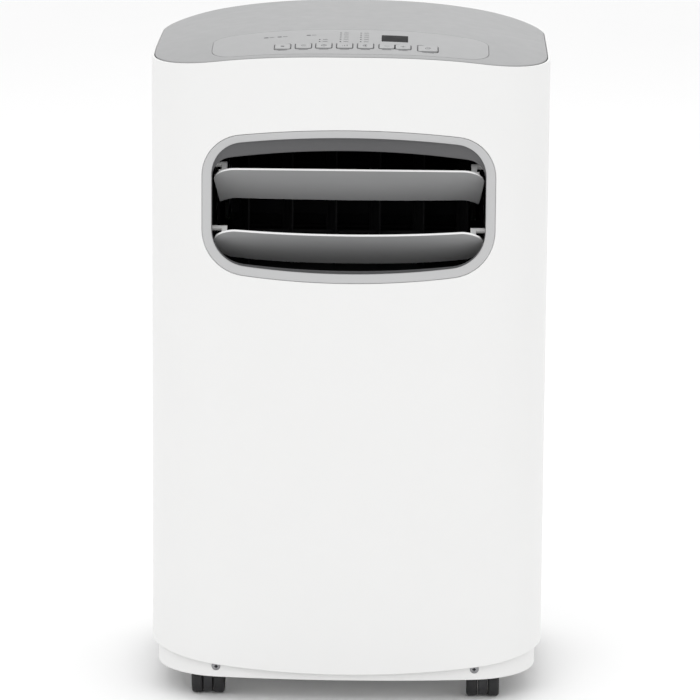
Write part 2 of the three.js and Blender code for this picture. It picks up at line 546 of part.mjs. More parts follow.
const pipeRoute = new THREE.CatmullRomCurve3([
  new THREE.Vector3(92, 5, 246), new THREE.Vector3(92, 5, 275), new THREE.Vector3(130, 30, 300),
  new THREE.Vector3(160, 60, 340), new THREE.Vector3(160, 60, 430), new THREE.Vector3(160, 78, 470),
  new THREE.Vector3(156, 104, 480)]);
const pipeSection = new THREE.Shape(arc(0, 0, 4.5, 0, 2 * Math.PI, 6).slice(0, -1));
add('refrigerant_pipe', new THREE.ExtrudeGeometry(pipeSection, { steps: 20, extrudePath: pipeRoute }), COPPER);

add('circuit_board', join(box(-172, -170, -60, 60, 440, 600), box(-170.5, -158, -40, -10, 460, 500),
  box(-170.5, -160, 10, 45, 470, 490), box(-170.5, -156, -20, 20, 540, 580)), GREEN);

// ---- back fittings --------------------------------------------------------------
function slatted(spec, pitch, slot) {
  const cover = extrude('y', roundedRectangle(-spec.half, spec.half, spec.bottom, spec.top, 10), 120, 180);
  const count = Math.floor((spec.top - spec.bottom - 26) / pitch);
  const start = (spec.top + spec.bottom - (count - 1) * pitch) / 2;
  const slots = Array.from({ length: count }, (_, i) => start + i * pitch)
    .flatMap((z) => [[-138, -3], [3, 138]].map(([x0, x1]) => box(x0, x1, 120, 180, z - slot / 2, z + slot / 2)));
  return cut(common(cover, skin(0, WALL)), ...slots);
}
add('filter_cover', slatted(FILTER, 26, 12), WHITE);
add('intake_grille', slatted(GRILLE, 26, 12), WHITE);

const glandProfile = [P(0, 0), P(GLAND.radius, 0), P(GLAND.radius, 8), P(7, 9), P(5, 17), P(3, 17), P(3, 5), P(0, 5)];
const capProfile = (radius) => [P(0, 0), P(radius - 3, 0), P(radius - 3, 8), P(radius, 8), P(radius, 11), P(0, 11)];
const onBack = (spec, standOff, length) => [spec.x, rearY(spec.x) - length + standOff, spec.z];
const lathe = (points, steps = 16) => new THREE.LatheGeometry(points, steps);
add('cord_gland', solidOf(lathe(glandProfile, 16)), DARK, onBack(GLAND, 0, 17));
add('upper_drain_cap', solidOf(lathe(capProfile(UPPER_DRAIN.radius))), DARK, onBack(UPPER_DRAIN, -1, 11));
add('lower_drain_cap', solidOf(lathe(capProfile(LOWER_DRAIN.radius))), DARK, onBack(LOWER_DRAIN, -1, 11));

export default unit;
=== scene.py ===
import json
from math import atan2, cos, pi, radians, sin, sqrt

import bmesh
import bpy
from mathutils import Matrix, Vector, geometry, kdtree


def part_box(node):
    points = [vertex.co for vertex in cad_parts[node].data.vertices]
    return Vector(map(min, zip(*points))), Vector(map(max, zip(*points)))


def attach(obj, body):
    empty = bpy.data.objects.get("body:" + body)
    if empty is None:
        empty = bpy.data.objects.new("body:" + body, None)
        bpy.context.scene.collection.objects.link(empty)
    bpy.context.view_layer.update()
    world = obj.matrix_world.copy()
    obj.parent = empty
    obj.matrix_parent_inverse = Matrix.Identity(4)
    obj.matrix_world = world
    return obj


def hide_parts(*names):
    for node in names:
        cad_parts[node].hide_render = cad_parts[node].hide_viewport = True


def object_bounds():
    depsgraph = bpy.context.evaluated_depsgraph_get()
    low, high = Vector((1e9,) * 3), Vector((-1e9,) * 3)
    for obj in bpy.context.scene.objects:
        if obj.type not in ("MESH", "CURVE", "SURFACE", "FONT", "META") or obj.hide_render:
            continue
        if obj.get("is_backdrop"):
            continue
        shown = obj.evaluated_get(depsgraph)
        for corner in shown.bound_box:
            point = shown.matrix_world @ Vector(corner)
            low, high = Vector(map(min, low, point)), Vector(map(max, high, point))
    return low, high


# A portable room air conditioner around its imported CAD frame. Everything is in metres.
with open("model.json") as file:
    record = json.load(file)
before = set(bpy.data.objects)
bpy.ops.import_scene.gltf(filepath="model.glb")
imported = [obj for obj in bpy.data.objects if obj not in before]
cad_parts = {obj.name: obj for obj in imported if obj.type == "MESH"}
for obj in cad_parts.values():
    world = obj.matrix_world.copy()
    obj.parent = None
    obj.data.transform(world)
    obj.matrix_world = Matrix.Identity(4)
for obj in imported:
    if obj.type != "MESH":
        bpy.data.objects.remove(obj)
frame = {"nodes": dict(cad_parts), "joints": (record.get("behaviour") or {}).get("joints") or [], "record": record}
CAD_LOW, CAD_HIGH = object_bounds()
MM = 0.001

# ---- sizes, taken from the frame where it states them -----------------------------
HALF = CAD_HIGH.x
FRONT, REAR = CAD_LOW.y, CAD_HIGH.y
TOP = CAD_HIGH.z
TOP_RISE = 17.5 * MM
TOP_SAG = 25.5 * MM
SAG_POWER = 2.46
TILT_DEPTH = 150 * MM
FRONT_BOW, REAR_BOW = 1160 * MM, 1338 * MM
FRONT_CORNER, REAR_CORNER = 85 * MM, 83 * MM
WALL = 3 * MM
SEAM_Y = 20 * MM
SHELL_EDGE, SHELL_DIP = 52.8 * MM, 18.1 * MM
BASE_INSET = 6.6 * MM
BASE_BOTTOM, FLOOR_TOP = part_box("base_pan")[0].z, 50 * MM
OUTLET_LOW, OUTLET_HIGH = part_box("outlet_frame")
OUTLET_BOW = 1010 * MM
FRAME_WIDTH, FRAME_LIFT = 9.7 * MM, -1.4 * MM
GAP = 0.35 * MM


# ---- camera -----------------------------------------------------------------------
def make_camera():
    """A long lens almost straight on, 4.8 m away and 1.4 m up, looking slightly down."""
    distance, height = 4.762, 1.399
    side, down, roll = radians(0.98), radians(12.25), radians(0.45)
    data = bpy.data.cameras.new("camera")
    camera = bpy.data.objects.new("camera", data)
    bpy.context.scene.collection.objects.link(camera)
    data.sensor_width = 36
    data.lens = 222.2
    data.clip_start, data.clip_end = 0.1, 50
    right = Vector((cos(side), sin(side), 0))
    ahead = Vector((-sin(side) * cos(down), cos(side) * cos(down), -sin(down)))
    up = right.cross(ahead)
    level = Matrix((right, up, -ahead)).transposed().to_4x4()
    place = Matrix.Translation((distance * sin(side), -distance * cos(side), height))
    camera.matrix_world = place @ level @ Matrix.Rotation(roll, 4, "Z")
    bpy.context.scene.camera = camera


make_camera()


# ---- materials --------------------------------------------------------------------
class Recipe:
    """A node material with a principled shader, and short ways to add to it."""

    def __init__(self, name, roughness=0.5, metallic=0.0, **constants):
        self.material = bpy.data.materials.new(name)
        self.material.use_nodes = True
        self.tree = self.material.node_tree
        self.shader = self.tree.nodes["Principled BSDF"]
        self.set(Roughness=roughness, Metallic=metallic, **constants)
        self.where = self.add("ShaderNodeTexCoord").outputs["Object"]

    def set(self, **constants):
        for key, value in constants.items():
            self.shader.inputs[key.replace("_", " ")].default_value = value

    def add(self, kind, **inputs):
        node = self.tree.nodes.new(kind)
        for key, value in inputs.items():
            socket = node.inputs[key.replace("_", " ")]
            if isinstance(value, bpy.types.NodeSocket):
                self.tree.links.new(value, socket)
            else:
                socket.default_value = value
        return node

    def noise(self, scale, detail=4.0, rough=0.55):
        return self.add("ShaderNodeTexNoise", Vector=self.where, Scale=scale, Detail=detail,
                        Roughness=rough).outputs["Fac"]

    def ramp(self, value, low, high, start=0.0, end=1.0):
        node = self.add("ShaderNodeMapRange", Value=value)
        node.inputs["From Min"].default_value = start
        node.inputs["From Max"].default_value = end
        node.inputs["To Min"].default_value = low
        node.inputs["To Max"].default_value = high
        return node.outputs["Result"]

    def tint(self, value, dark, light):
        node = self.add("ShaderNodeValToRGB", Fac=value)
        node.color_ramp.elements[0].color = (*dark, 1)
        node.color_ramp.elements[1].color = (*light, 1)
        return node.outputs["Color"]

    def colour(self, socket):
        self.tree.links.new(socket, self.shader.inputs["Base Color"])

    def rough(self, socket):
        self.tree.links.new(socket, self.shader.inputs["Roughness"])

    def bump(self, height, strength, distance=0.0002):
        node = self.add("ShaderNodeBump", Height=height, Strength=strength, Distance=distance)
        self.tree.links.new(node.outputs["Normal"], self.shader.inputs["Normal"])


def shade(colour, factor):
    return tuple(min(1.0, part * factor) for part in colour)


def plastic(name, colour, roughness=0.42, grain=0.12, spread=0.03, coat=0.0, level=0.45):
    """Moulded plastic: fine spark-erosion grain, cloudy colour and slightly uneven gloss."""
    recipe = Recipe(name, roughness, Specular_IOR_Level=level, Coat_Weight=coat, Coat_Roughness=0.15)
    clouds = recipe.noise(9.0)
    recipe.colour(recipe.tint(clouds, shade(colour, 1 - spread), shade(colour, 1 + spread)))
    recipe.rough(recipe.ramp(recipe.noise(60.0), roughness - 0.05, roughness + 0.05, 0.3, 0.7))
    recipe.bump(recipe.noise(2600.0, 2.0), grain, 0.00005)
    return recipe.material


def metal(name, colour, roughness=0.35):
    """Drawn or plated metal with fine uneven polish."""
    recipe = Recipe(name, roughness, 0.95)
    recipe.colour(recipe.tint(recipe.noise(40.0), shade(colour, 0.88), shade(colour, 1.08)))
    recipe.rough(recipe.ramp(recipe.noise(180.0), roughness - 0.1, roughness + 0.12, 0.3, 0.7))
    recipe.bump(recipe.noise(900.0), 0.15, 0.00005)
    return recipe.material


def finned(name, colour):
    """Coil face: close upright fins, with painted shade in the dark stripes between them."""
    recipe = Recipe(name, 0.45, 0.8)
    wave = recipe.add("ShaderNodeTexWave", Vector=recipe.where, Scale=200.0, Distortion=0.4)
    # The dark end of this tint is painted shade in the gaps between fins.
    recipe.colour(recipe.tint(wave.outputs["Fac"], shade(colour, 0.35), colour))
    recipe.bump(wave.outputs["Fac"], 0.6, 0.0006)
    return recipe.material


def board(name):
    """Solder mask over copper tracks."""
    recipe = Recipe(name, 0.4)
    tracks = recipe.add("ShaderNodeTexBrick", Vector=recipe.where, Scale=120.0)
    tracks.inputs["Color1"].default_value = (0.02, 0.16, 0.07, 1)
    tracks.inputs["Color2"].default_value = (0.025, 0.20, 0.09, 1)
    tracks.inputs["Mortar"].default_value = (0.05, 0.30, 0.13, 1)
    recipe.colour(tracks.outputs["Color"])
    recipe.bump(tracks.outputs["Fac"], 0.2, 0.0001)
    return recipe.material


WHITE = plastic("casing_white", (0.80, 0.80, 0.795), 0.38, 0.10, 0.012)
LID = plastic("lid_grey", (0.365, 0.367, 0.37), 0.55, 0.22, level=0.25)
FILM = plastic("film_grey", (0.395, 0.397, 0.40), 0.55, 0.04, 0.02, level=0.2)
KEYCAP = plastic("key_grey", (0.40, 0.402, 0.405), 0.5, 0.08, level=0.2)
FRAME = plastic("frame_grey", (0.50, 0.502, 0.505), 0.42, 0.12)
# The outlet bevel is the same grey plastic as the ring; its much darker colour is painted shade for its down-facing
# slope.
BEVEL = plastic("bevel_grey", (0.115, 0.115, 0.118), 0.5, 0.15, level=0.15)
# Louver blades: this face colour is darker than the blades' own light grey, painted shade for their down-facing tilt.
SHADED_LOUVER = plastic("louver_grey", (0.33, 0.332, 0.335), 0.36, 0.10)
# Near-white copy of the louver plastic for the blade edges: painted highlight for the lit top edge.
LOUVER_EDGE_HIGHLIGHT = plastic("louver_edge_highlight", (0.86, 0.86, 0.86), 0.3, 0.05)
BLACK = plastic("inner_black", (0.0035, 0.0035, 0.004), 0.75, 0.2, level=0.12)
CASTOR = plastic("castor_black", (0.018, 0.018, 0.02), 0.42, 0.15, 0.2)
TREAD = plastic("castor_tread", (0.012, 0.012, 0.013), 0.62, 0.4, 0.25)
DISPLAY = plastic("display_black", (0.004, 0.004, 0.005), 0.5, 0.01, 0.1, level=0.06)
# Dark print for marks and lamps; also used as painted shade in the screw-head crosses.
DARK_PRINT_AND_SHADE = plastic("dark_print_and_shade", (0.045, 0.045, 0.05), 0.6, 0.02, level=0.05)
STEEL = metal("steel", (0.55, 0.56, 0.58), 0.3)
SCREW = metal("screw_zinc", (0.30, 0.30, 0.31), 0.35)
COPPER = metal("pipe_copper", (0.62, 0.30, 0.16), 0.3)
COIL = finned("coil_aluminium", (0.62, 0.63, 0.65))
BOARD = board("board_green")
SHELLBLACK = plastic("compressor_black", (0.02, 0.02, 0.022), 0.35, 0.2)

NODE_LOOKS = {
    "casing_white": WHITE, "lid_grey": LID, "film_grey": FILM, "key_grey": KEYCAP, "frame_grey": FRAME,
    "bevel_grey": BEVEL, "louver_grey": SHADED_LOUVER, "inner_black": BLACK, "castor_black": CASTOR,
    "display_black": DISPLAY, "steel": STEEL, "coil_aluminium": COIL, "pipe_copper": COPPER,
    "board_green": BOARD, "compressor_black": SHELLBLACK,
}
NODE_SLOT = {row["node"]: row["material_slot"] for row in frame["record"]["subparts"]}
for node_name, node_object in frame["nodes"].items():
    node_object.data.materials.clear()
    node_object.data.materials.append(NODE_LOOKS[NODE_SLOT[node_name]])
BODY_OF = {node: name for name, nodes in frame["record"]["behaviour"]["bodies"].items() for node in nodes}


# ---- making pieces ----------------------------------------------------------------
def piece(name, verts, faces, look, node=None, body="casing", slot=None, smooth=35):
    """A mesh object that rides on a body, and replaces a CAD node if one is named."""
    mesh = bpy.data.meshes.new(name)
    mesh.from_pydata([tuple(v) for v in verts], [], faces)
    mesh.validate()
    mesh.update()
    mesh.shade_smooth()
    if smooth:
        mesh.set_sharp_from_angle(angle=radians(smooth))
    mesh.materials.append(look)
    made = bpy.data.objects.new(name, mesh)
    bpy.context.scene.collection.objects.link(made)
    if node:
        body = BODY_OF[node]
        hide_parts(node)
    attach(made, body)
    slot or (NODE_SLOT[node] if node else "casing_white")
    return made


def thicken(made, thickness, offset=-1.0):
    modifier = made.modifiers.new("thickness", "SOLIDIFY")
    modifier.thickness = thickness
    modifier.offset = offset
    modifier.use_even_offset = True
    return made


def soften(made, width, angle=50, segments=3):
    modifier = made.modifiers.new("edges", "BEVEL")
    modifier.width = width
    modifier.segments = segments
    modifier.limit_method = "ANGLE"
    modifier.angle_limit = radians(angle)
    modifier.harden_normals = True
    modifier.use_clamp_overlap = True
    return made


def arc(cx, cy, radius, start, end, steps):
    return [(cx + radius * cos(start + (end - start) * i / steps),
             cy + radius * sin(start + (end - start) * i / steps)) for i in range(steps + 1)]


def rounded(x0, x1, y0, y1, radius, steps=6):
    """A rectangle with round corners, anticlockwise."""
    corners = ((x1 - radius, y0 + radius, -pi / 2), (x1 - radius, y1 - radius, 0),
               (x0 + radius, y1 - radius, pi / 2), (x0 + radius, y0 + radius, pi))
    return [p for cx, cy, a in corners for p in arc(cx, cy, radius, a, a + pi / 2, steps)]


def bowed(half, near, far, near_bow, far_bow, near_corner, far_corner, steps=12, bow_steps=48):
    """Straight sides, bowed ends and round corners, anticlockwise from the near end's left."""
    def end(crown, bow, corner, sign):
        centre = crown - sign * bow
        across = half - corner
        corner_y = centre + sign * sqrt((bow - corner) ** 2 - across ** 2)
        return centre, across, corner_y, atan2(abs(corner_y - centre), across)
    nc, na, ny, nt = end(near, near_bow, near_corner, -1)
    fc, fa, fy, ft = end(far, far_bow, far_corner, 1)
    points = arc(0, nc, near_bow, -pi + nt, -nt, bow_steps)
    points += arc(na, ny, near_corner, -nt, 0, steps)[1:]
    points += arc(fa, fy, far_corner, 0, ft, steps)
    points += arc(0, fc, far_bow, ft, pi - ft, bow_steps)[1:]
    points += arc(-fa, fy, far_corner, pi - ft, pi, steps)[1:]
    points += arc(-na, ny, near_corner, pi, pi + nt, steps)
    return points[:-1]


def body_outline(inset=0.0, steps=12, bow_steps=48):
    return bowed(HALF - inset, FRONT + inset, REAR - inset, FRONT_BOW - inset, REAR_BOW - inset,
                 FRONT_CORNER - inset, REAR_CORNER - inset, steps, bow_steps)


def outlet_outline(inset=0.0, drop=0.0, top_corner=46 * MM):
    return bowed(OUTLET_HIGH.x - inset, OUTLET_LOW.z + inset, OUTLET_HIGH.z - inset - drop,
                 OUTLET_BOW - inset, OUTLET_BOW - inset, 50 * MM - inset, top_corner - inset, 12, 40)


def top_height(x, y):
    left = max(0.0, 1 - (y - FRONT) / TILT_DEPTH)
    sag = TOP_SAG * abs(x / HALF) ** SAG_POWER
    return TOP - TOP_RISE * left * left - sag


class Wall:
    """The casing's upright surface: a distance along its outline from the front's middle, and a height."""

    def __init__(self):
        points = body_outline(0.1 * MM, 40, 160)
        start = min(range(len(points)), key=lambda i: abs(points[i][0]) + (points[i][1] > 0))
        points = points[start:] + points[:start + 1]
        self.points = [Vector(p) for p in points]
        self.along = [0.0]
        for a, b in zip(self.points, self.points[1:]):
            self.along.append(self.along[-1] + (b - a).length)
        self.length = self.along[-1]

    def at(self, s, inset=0.0):
        """Point of the outline at distance s, moved inwards."""
        s = s % self.length
        low, high = 0, len(self.along) - 1
        while high - low > 1:
            middle = (low + high) // 2
            if self.along[middle] <= s:
                low = middle
            else:
                high = middle
        a, b = self.points[low], self.points[high]
        spot = a.lerp(b, (s - self.along[low]) / (self.along[high] - self.along[low]))
        before, after = self.points[low - 1 if low else -2], self.points[(high + 1) % (len(self.points) - 1)]
        run_a = (b - before).normalized()
        run_b = (after - a).normalized()
        run = run_a.lerp(run_b, (s - self.along[low]) / (self.along[high] - self.along[low])).normalized()
        return spot + Vector((-run.y, run.x)) * inset

    def front(self, x):
        """Distance along the outline at x on the front."""
        return self._find(lambda p: p.x - x, -self.length / 4, self.length / 4)

    def rear(self, x):
        return self._find(lambda p: x - p.x, self.length / 4, self.length * 3 / 4)

    def side(self, y):
        """Distance along the outline at y on the right side."""
        return self._find(lambda p: p.y - y, self.length / 8, self.length * 3 / 8)

    def _find(self, error, low, high):
        for _ in range(40):
            middle = (low + high) / 2
            if error(self.at(middle)) < 0:
                low = middle
            else:
                high = middle
        return (low + high) / 2


wall = Wall()


def edge_height(x):
    return SHELL_EDGE - SHELL_DIP * (1 - (x / HALF) ** 2)


def spread(points, step):
    """The same closed loop with no side longer than step."""
    loop = []
    for (ax, ay), (bx, by) in zip(points, points[1:] + points[:1]):
        count = max(1, round(sqrt((bx - ax) ** 2 + (by - ay) ** 2) / step))
        loop += [(ax + (bx - ax) * i / count, ay + (by - ay) * i / count) for i in range(count)]
    return loop


def sheet(outer, holes, step, place):
    """A triangulated sheet: outer loop and holes in the plane, with points between, placed in space."""
    loops = [outer, *holes]
    points = [p for loop in loops for p in loop]
    rims, start = [], 0
    for loop in loops:
        rims.append(list(range(start, start + len(loop))))
        start += len(loop)
    xs, ys = [p[0] for p in outer], [p[1] for p in outer]
    tree = kdtree.KDTree(len(points))
    for i, p in enumerate(points):
        tree.insert((*p, 0), i)
    tree.balance()
    columns = int((max(xs) - min(xs)) / step)
    rows = int((max(ys) - min(ys)) / step)
    for i in range(1, columns):
        for j in range(1, rows):
            p = (min(xs) + (max(xs) - min(xs)) * i / columns, min(ys) + (max(ys) - min(ys)) * j / rows)
            if tree.find((*p, 0))[2] > 0.45 * step and inside(p, outer) and not any(inside(p, h) for h in holes):
                points.append(p)
    verts, _, made, _, _, _ = geometry.delaunay_2d_cdt([Vector(p) for p in points], [], rims, 1, 1e-7)
    keep = []
    for face in made:
        middle = sum((verts[i] for i in face), Vector((0, 0))) / len(face)
        if not any(inside(middle, hole) for hole in holes):
            keep.append(list(face))
    used = sorted({i for face in keep for i in face})
    renumber = {old: new for new, old in enumerate(used)}
    return [place(*verts[i]) for i in used], [[renumber[i] for i in face] for face in keep]


def inside(point, loop):
    x, y = point
    within = False
    for (ax, ay), (bx, by) in zip(loop, loop[1:] + loop[:1]):
        if (ay > y) != (by > y) and x < (bx - ax) * (y - ay) / (by - ay) + ax:
            within = not within
    return within


# ---- casing shells ----------------------------------------------------------------
def on_wall(inset=0.0):
    def place(s, z):
        spot = wall.at(s, inset)
        return (spot.x, spot.y, z)
    return place


def shell_loop(start, end, step):
    """Outline of a shell from one seam to the other, following the lid above and the base below."""
    count = round((end - start) / step)
    run = [start + (end - start) * i / count for i in range(count + 1)]
    spots = [wall.at(s) for s in run]
    low = [(s, edge_height(p.x)) for s, p in zip(run, spots)]
    high = [(s, top_height(p.x, p.y)) for s, p in zip(run, spots)]
    rows = 36
    right = [(end, low[-1][1] + (high[-1][1] - low[-1][1]) * i / rows) for i in range(1, rows)]
    left = [(start, high[0][1] + (low[0][1] - high[0][1]) * i / rows) for i in range(1, rows)]
    return low + right + high[::-1] + left


def on_front(loop):
    return [(wall.front(x), z) for x, z in loop]


def on_rear(loop):
    return [(wall.rear(x), z) for x, z in reversed(loop)]


def rear_circle(spec, radius, steps=40):
    return on_rear(arc(spec[0], spec[1], radius, 0, 2 * pi, steps)[:-1])


FILTER_LOW, FILTER_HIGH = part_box("filter_cover")
GRILLE_LOW, GRILLE_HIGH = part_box("intake_grille")
COLLAR_LOW, COLLAR_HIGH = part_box("exhaust_collar")


def middle_of(node):
    low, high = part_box(node)
    return (low.x + high.x) / 2, (low.z + high.z) / 2, (high.x - low.x) / 2


COLLAR, GLAND = middle_of("exhaust_collar"), middle_of("cord_gland")
UPPER_CAP, LOWER_CAP = middle_of("upper_drain_cap"), middle_of("lower_drain_cap")
GRIP_NEAR, GRIP_FAR, GRIP_LOW, GRIP_HIGH, GRIP_DEEP = 28 * MM, 106 * MM, 558 * MM, 592 * MM, 26 * MM


def grip_loop(side, inset=0.0):
    near, far = wall.side(GRIP_NEAR + inset), wall.side(GRIP_FAR - inset)
    loop = rounded(near, far, GRIP_LOW + inset, GRIP_HIGH - inset, 9 * MM - inset, 5)
    return loop if side > 0 else [(wall.length - s, z) for s, z in reversed(loop)]


def rear_window(low, high, gap=GAP):
    return on_rear(spread(rounded(low.x - gap, high.x + gap, low.z - gap, high.z + gap, 10 * MM), 10 * MM))


seam = wall.side(SEAM_Y - 0.15 * MM), wall.side(SEAM_Y + 0.15 * MM)
outlet_hole = on_front(spread(outlet_outline(-GAP), 6 * MM))
front = piece("front_casing", *sheet(shell_loop(-seam[0], seam[0], 8 * MM), [outlet_hole], 11 * MM, on_wall()),
              WHITE, "front_shell")
soften(thicken(front, WALL), 0.9 * MM)

rear_holes = [rear_window(FILTER_LOW, FILTER_HIGH), rear_window(GRILLE_LOW, GRILLE_HIGH),
              rear_circle(COLLAR, COLLAR[2] + GAP, 64), rear_circle(GLAND, GLAND[2] + GAP, 24),
              rear_circle(UPPER_CAP, UPPER_CAP[2] + GAP), rear_circle(LOWER_CAP, LOWER_CAP[2] + GAP),
              grip_loop(1), grip_loop(-1)]
rear = piece("rear_casing", *sheet(shell_loop(seam[1], wall.length - seam[1], 8 * MM), rear_holes, 11 * MM,
                                   on_wall()), WHITE, "rear_shell")
soften(thicken(rear, WALL), 0.7 * MM)


def loft(loops, cap=False):
    """Quads between loops of the same length, with an end cap if asked."""
    count = len(loops[0])
    verts = [p for loop in loops for p in loop]
    faces = [(r * count + i, r * count + (i + 1) % count, (r + 1) * count + (i + 1) % count, (r + 1) * count + i)
             for r in range(len(loops) - 1) for i in range(count)]
    if cap:
        faces.append(tuple((len(loops) - 1) * count + i for i in range(count)))
    return verts, faces


def grip_pocket(side):
    loops = []
    for part in (0.0, 0.1, 0.85, 0.95, 1.0):
        inset = 0.0 if part < 0.9 else (2.0 if part < 1 else 5.0) * MM
        ring = []
        for s, z in grip_loop(side, 0.4 * MM + inset):
            spot = wall.at(s, 0.6 * MM)
            floor_x = side * (HALF - GRIP_DEEP)
            ring.append((spot.x + (floor_x - spot.x) * part, spot.y, z))
        loops.append(ring)
    made = piece("grip_pocket_" + ("right" if side > 0 else "left"), *loft(loops, cap=True), WHITE)
    return thicken(made, 1.5 * MM)


grip_pocket(1)
grip_pocket(-1)


def base_skirt():
    step_count = 220
    levels = [FLOOR_TOP, BASE_BOTTOM + 2 * MM, BASE_BOTTOM]
    loops = []
    for z in levels:
        ring = []
        for i in range(step_count):
            spot = wall.at(wall.length * i / step_count, BASE_INSET)
            ring.append((spot.x, spot.y, z))
        loops.append(ring[::-1])
    made = piece("base_skirt", *loft(loops), WHITE, "base_pan")
    return soften(thicken(made, WALL), 1.2 * MM)


base_skirt()
joints = {joint["name"]: joint for joint in frame["joints"]}
SPOTS = [(f"{end}_{side}", Vector(joints[f"castor_{end}_{side}_swivel"]["pos_m"]))
         for end in ("front", "rear") for side in ("left", "right")]
stem_holes = [arc(spot.x, spot.y, 5.5 * MM, 0, 2 * pi, 20)[:-1] for _, spot in SPOTS]
floor_plate = piece("base_floor", *sheet(spread(body_outline(BASE_INSET + 1 * MM), 14 * MM), stem_holes, 20 * MM,
                                         lambda x, y: (x, y, FLOOR_TOP)), WHITE, slot="casing_white")
soften(thicken(floor_plate, 3 * MM), 0.4 * MM)


# ---- lid, control film and keys ---------------------------------------------------
def on_lid(lift=0.0):
    return lambda x, y: (x, y, top_height(x, y) + lift)


def film_outline(inset=0.0):
    return bowed(150 * MM - inset, -160.5 * MM + inset, -66 * MM - inset, FRONT_BOW - inset, 1.3 - inset,
                 28 * MM - inset, 24 * MM - inset, 10, 40)


KEY_NAMES = ["mode", "swing", "timer", "speed", "sleep", "minus", "plus", "power"]
DISPLAY_LOW, DISPLAY_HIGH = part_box("display_window")


def key_cell(name):
    low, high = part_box("key_" + name)
    axis = Vector(joints[f"key_{name}_press"]["axis"])
    tilt = atan2(-axis.y, axis.z)
    half_x = (high.x - low.x) / 2
    depth_y = (high.y - low.y - 8.8 * MM * sin(tilt)) / cos(tilt) / 2
    x = (low.x + high.x) / 2
    return x, KEY_Y, half_x, depth_y, tilt


KEY_Y = -134.5 * MM
CELLS = {name: key_cell(name) for name in KEY_NAMES}
key_holes = [rounded(x - hx - GAP, x + hx + GAP, y - hy - GAP, y + hy + GAP, 2.2 * MM, 5)
             for x, y, hx, hy, _ in CELLS.values()]
display_box = (DISPLAY_LOW.x, DISPLAY_HIGH.x, DISPLAY_LOW.y, DISPLAY_HIGH.y)
display_hole = rounded(display_box[0] - GAP, display_box[1] + GAP, display_box[2] - GAP, display_box[3] + GAP,
                       1.2 * MM, 4)
lid = piece("lid", *sheet(spread(body_outline(WALL + 0.5 * MM), 9 * MM), [spread(film_outline(), 7 * MM)], 11 * MM,
                          on_lid()), LID, "top_panel")
soften(thicken(lid, 4 * MM), 0.9 * MM)
film = piece("control_overlay", *sheet(spread(film_outline(GAP), 6 * MM),
                                       [spread(hole, 4 * MM) for hole in [*key_holes, display_hole]], 6 * MM,
                                       on_lid(-0.1 * MM)), FILM, "control_film")
soften(thicken(film, 1.3 * MM), 0.35 * MM)
window = piece("display_glass", *sheet(spread(rounded(*display_box, 1.0 * MM, 4), 4 * MM), [], 5 * MM,
                                       on_lid(-0.05 * MM)), DISPLAY, "display_window")
soften(thicken(window, 1.2 * MM), 0.3 * MM)


def strip(points, width):
    """A flat ribbon along a few points, in a plane."""
    verts, faces = [], []
    for (ax, ay), (bx, by) in zip(points, points[1:]):
        run = Vector((bx - ax, by - ay)).normalized() * width / 2
        side = Vector((-run.y, run.x))
        start = len(verts)
        a, b = Vector((ax, ay)) - run * 0.3, Vector((bx, by)) + run * 0.3
        verts += [a - side, b - side, b + side, a + side]
        faces.append((start, start + 1, start + 2, start + 3))
    return verts, faces


def drawn(lines, width, place):
    """Ribbons along several lines of points in a plane, placed in space."""
    verts, faces = [], []
    for line in lines:
        points, quads = strip(line, width)
        faces += [tuple(len(verts) + i for i in quad) for quad in quads]
        verts += [place(p.x, p.y) for p in points]
    return verts, faces


def circle(radius, steps=20, start=0.0, end=2 * pi, cx=0.0, cy=0.0):
    return arc(cx, cy, radius, start, end, steps)


R = 2.6 * MM
MARKS = {
    "mode": [[(-R, 0), (R, 0)], [(-R / 2, -R * 0.87), (R / 2, R * 0.87)], [(-R / 2, R * 0.87), (R / 2, -R * 0.87)]],
    "swing": [[(-R, -R / 2), (R, -R / 2)], [(-R, R / 2), (0, R), (R, R / 2)]],
    "timer": [circle(R), [(0, R * 0.6), (0, 0), (R * 0.5, 0)]],
    "speed": [[(-R, -R), (-R, -R / 3)], [(0, -R), (0, R / 3)], [(R, -R), (R, R)]],
    "sleep": [circle(R, 16, radians(60), radians(300)), circle(R * 0.75, 14, radians(75), radians(285), R * 0.5)],
    "minus": [[(-R, 0), (R, 0)]],
    "plus": [[(-R, 0), (R, 0)], [(0, -R), (0, R)]],
    "power": [circle(R, 18, radians(120), radians(420)), [(0, R * 1.2), (0, 0)]],
}
PROUD, DISH, PRINT_LIFT = 0.8 * MM, 0.25 * MM, 0.06 * MM


def make_key(name):
    x, y, half_x, half_y, tilt = CELLS[name]
    base = Vector((x, y, top_height(x, y)))
    turn = Matrix.Rotation(tilt, 3, "X")

    def place(u, v, lift=0.0):
        dish = DISH * ((u / half_x) ** 2 + (v / half_y) ** 2) / 2
        return base + turn @ Vector((u, v, PROUD - DISH + dish + lift))

    outline = spread(rounded(-half_x, half_x, -half_y, half_y, 2 * MM, 6), 2.5 * MM)
    cap = piece(f"keycap_{name}", *sheet(outline, [], 2.5 * MM, place), KEYCAP, f"key_{name}")
    soften(thicken(cap, 6 * MM), 0.5 * MM)
    icon = drawn(MARKS[name], 0.55 * MM, lambda u, v: place(u, v, PRINT_LIFT))
    mark = piece(f"mark_{name}", *icon, DARK_PRINT_AND_SHADE, body=BODY_OF[f"key_{name}"], slot="display_black")
    thicken(mark, 0.05 * MM)


for key_name in KEY_NAMES:
    make_key(key_name)


LAMPS = [(-92 * MM, -97 * MM), (-77.5 * MM, -96.5 * MM), (-46 * MM, -93.5 * MM)]
LAMPS += [(-33.5 * MM, y * MM) for y in (-111.5, -119)]
LAMPS += [(x * MM, (-84 - 8.8 * i) * MM) for x in (-11, 11) for i in range(5)]


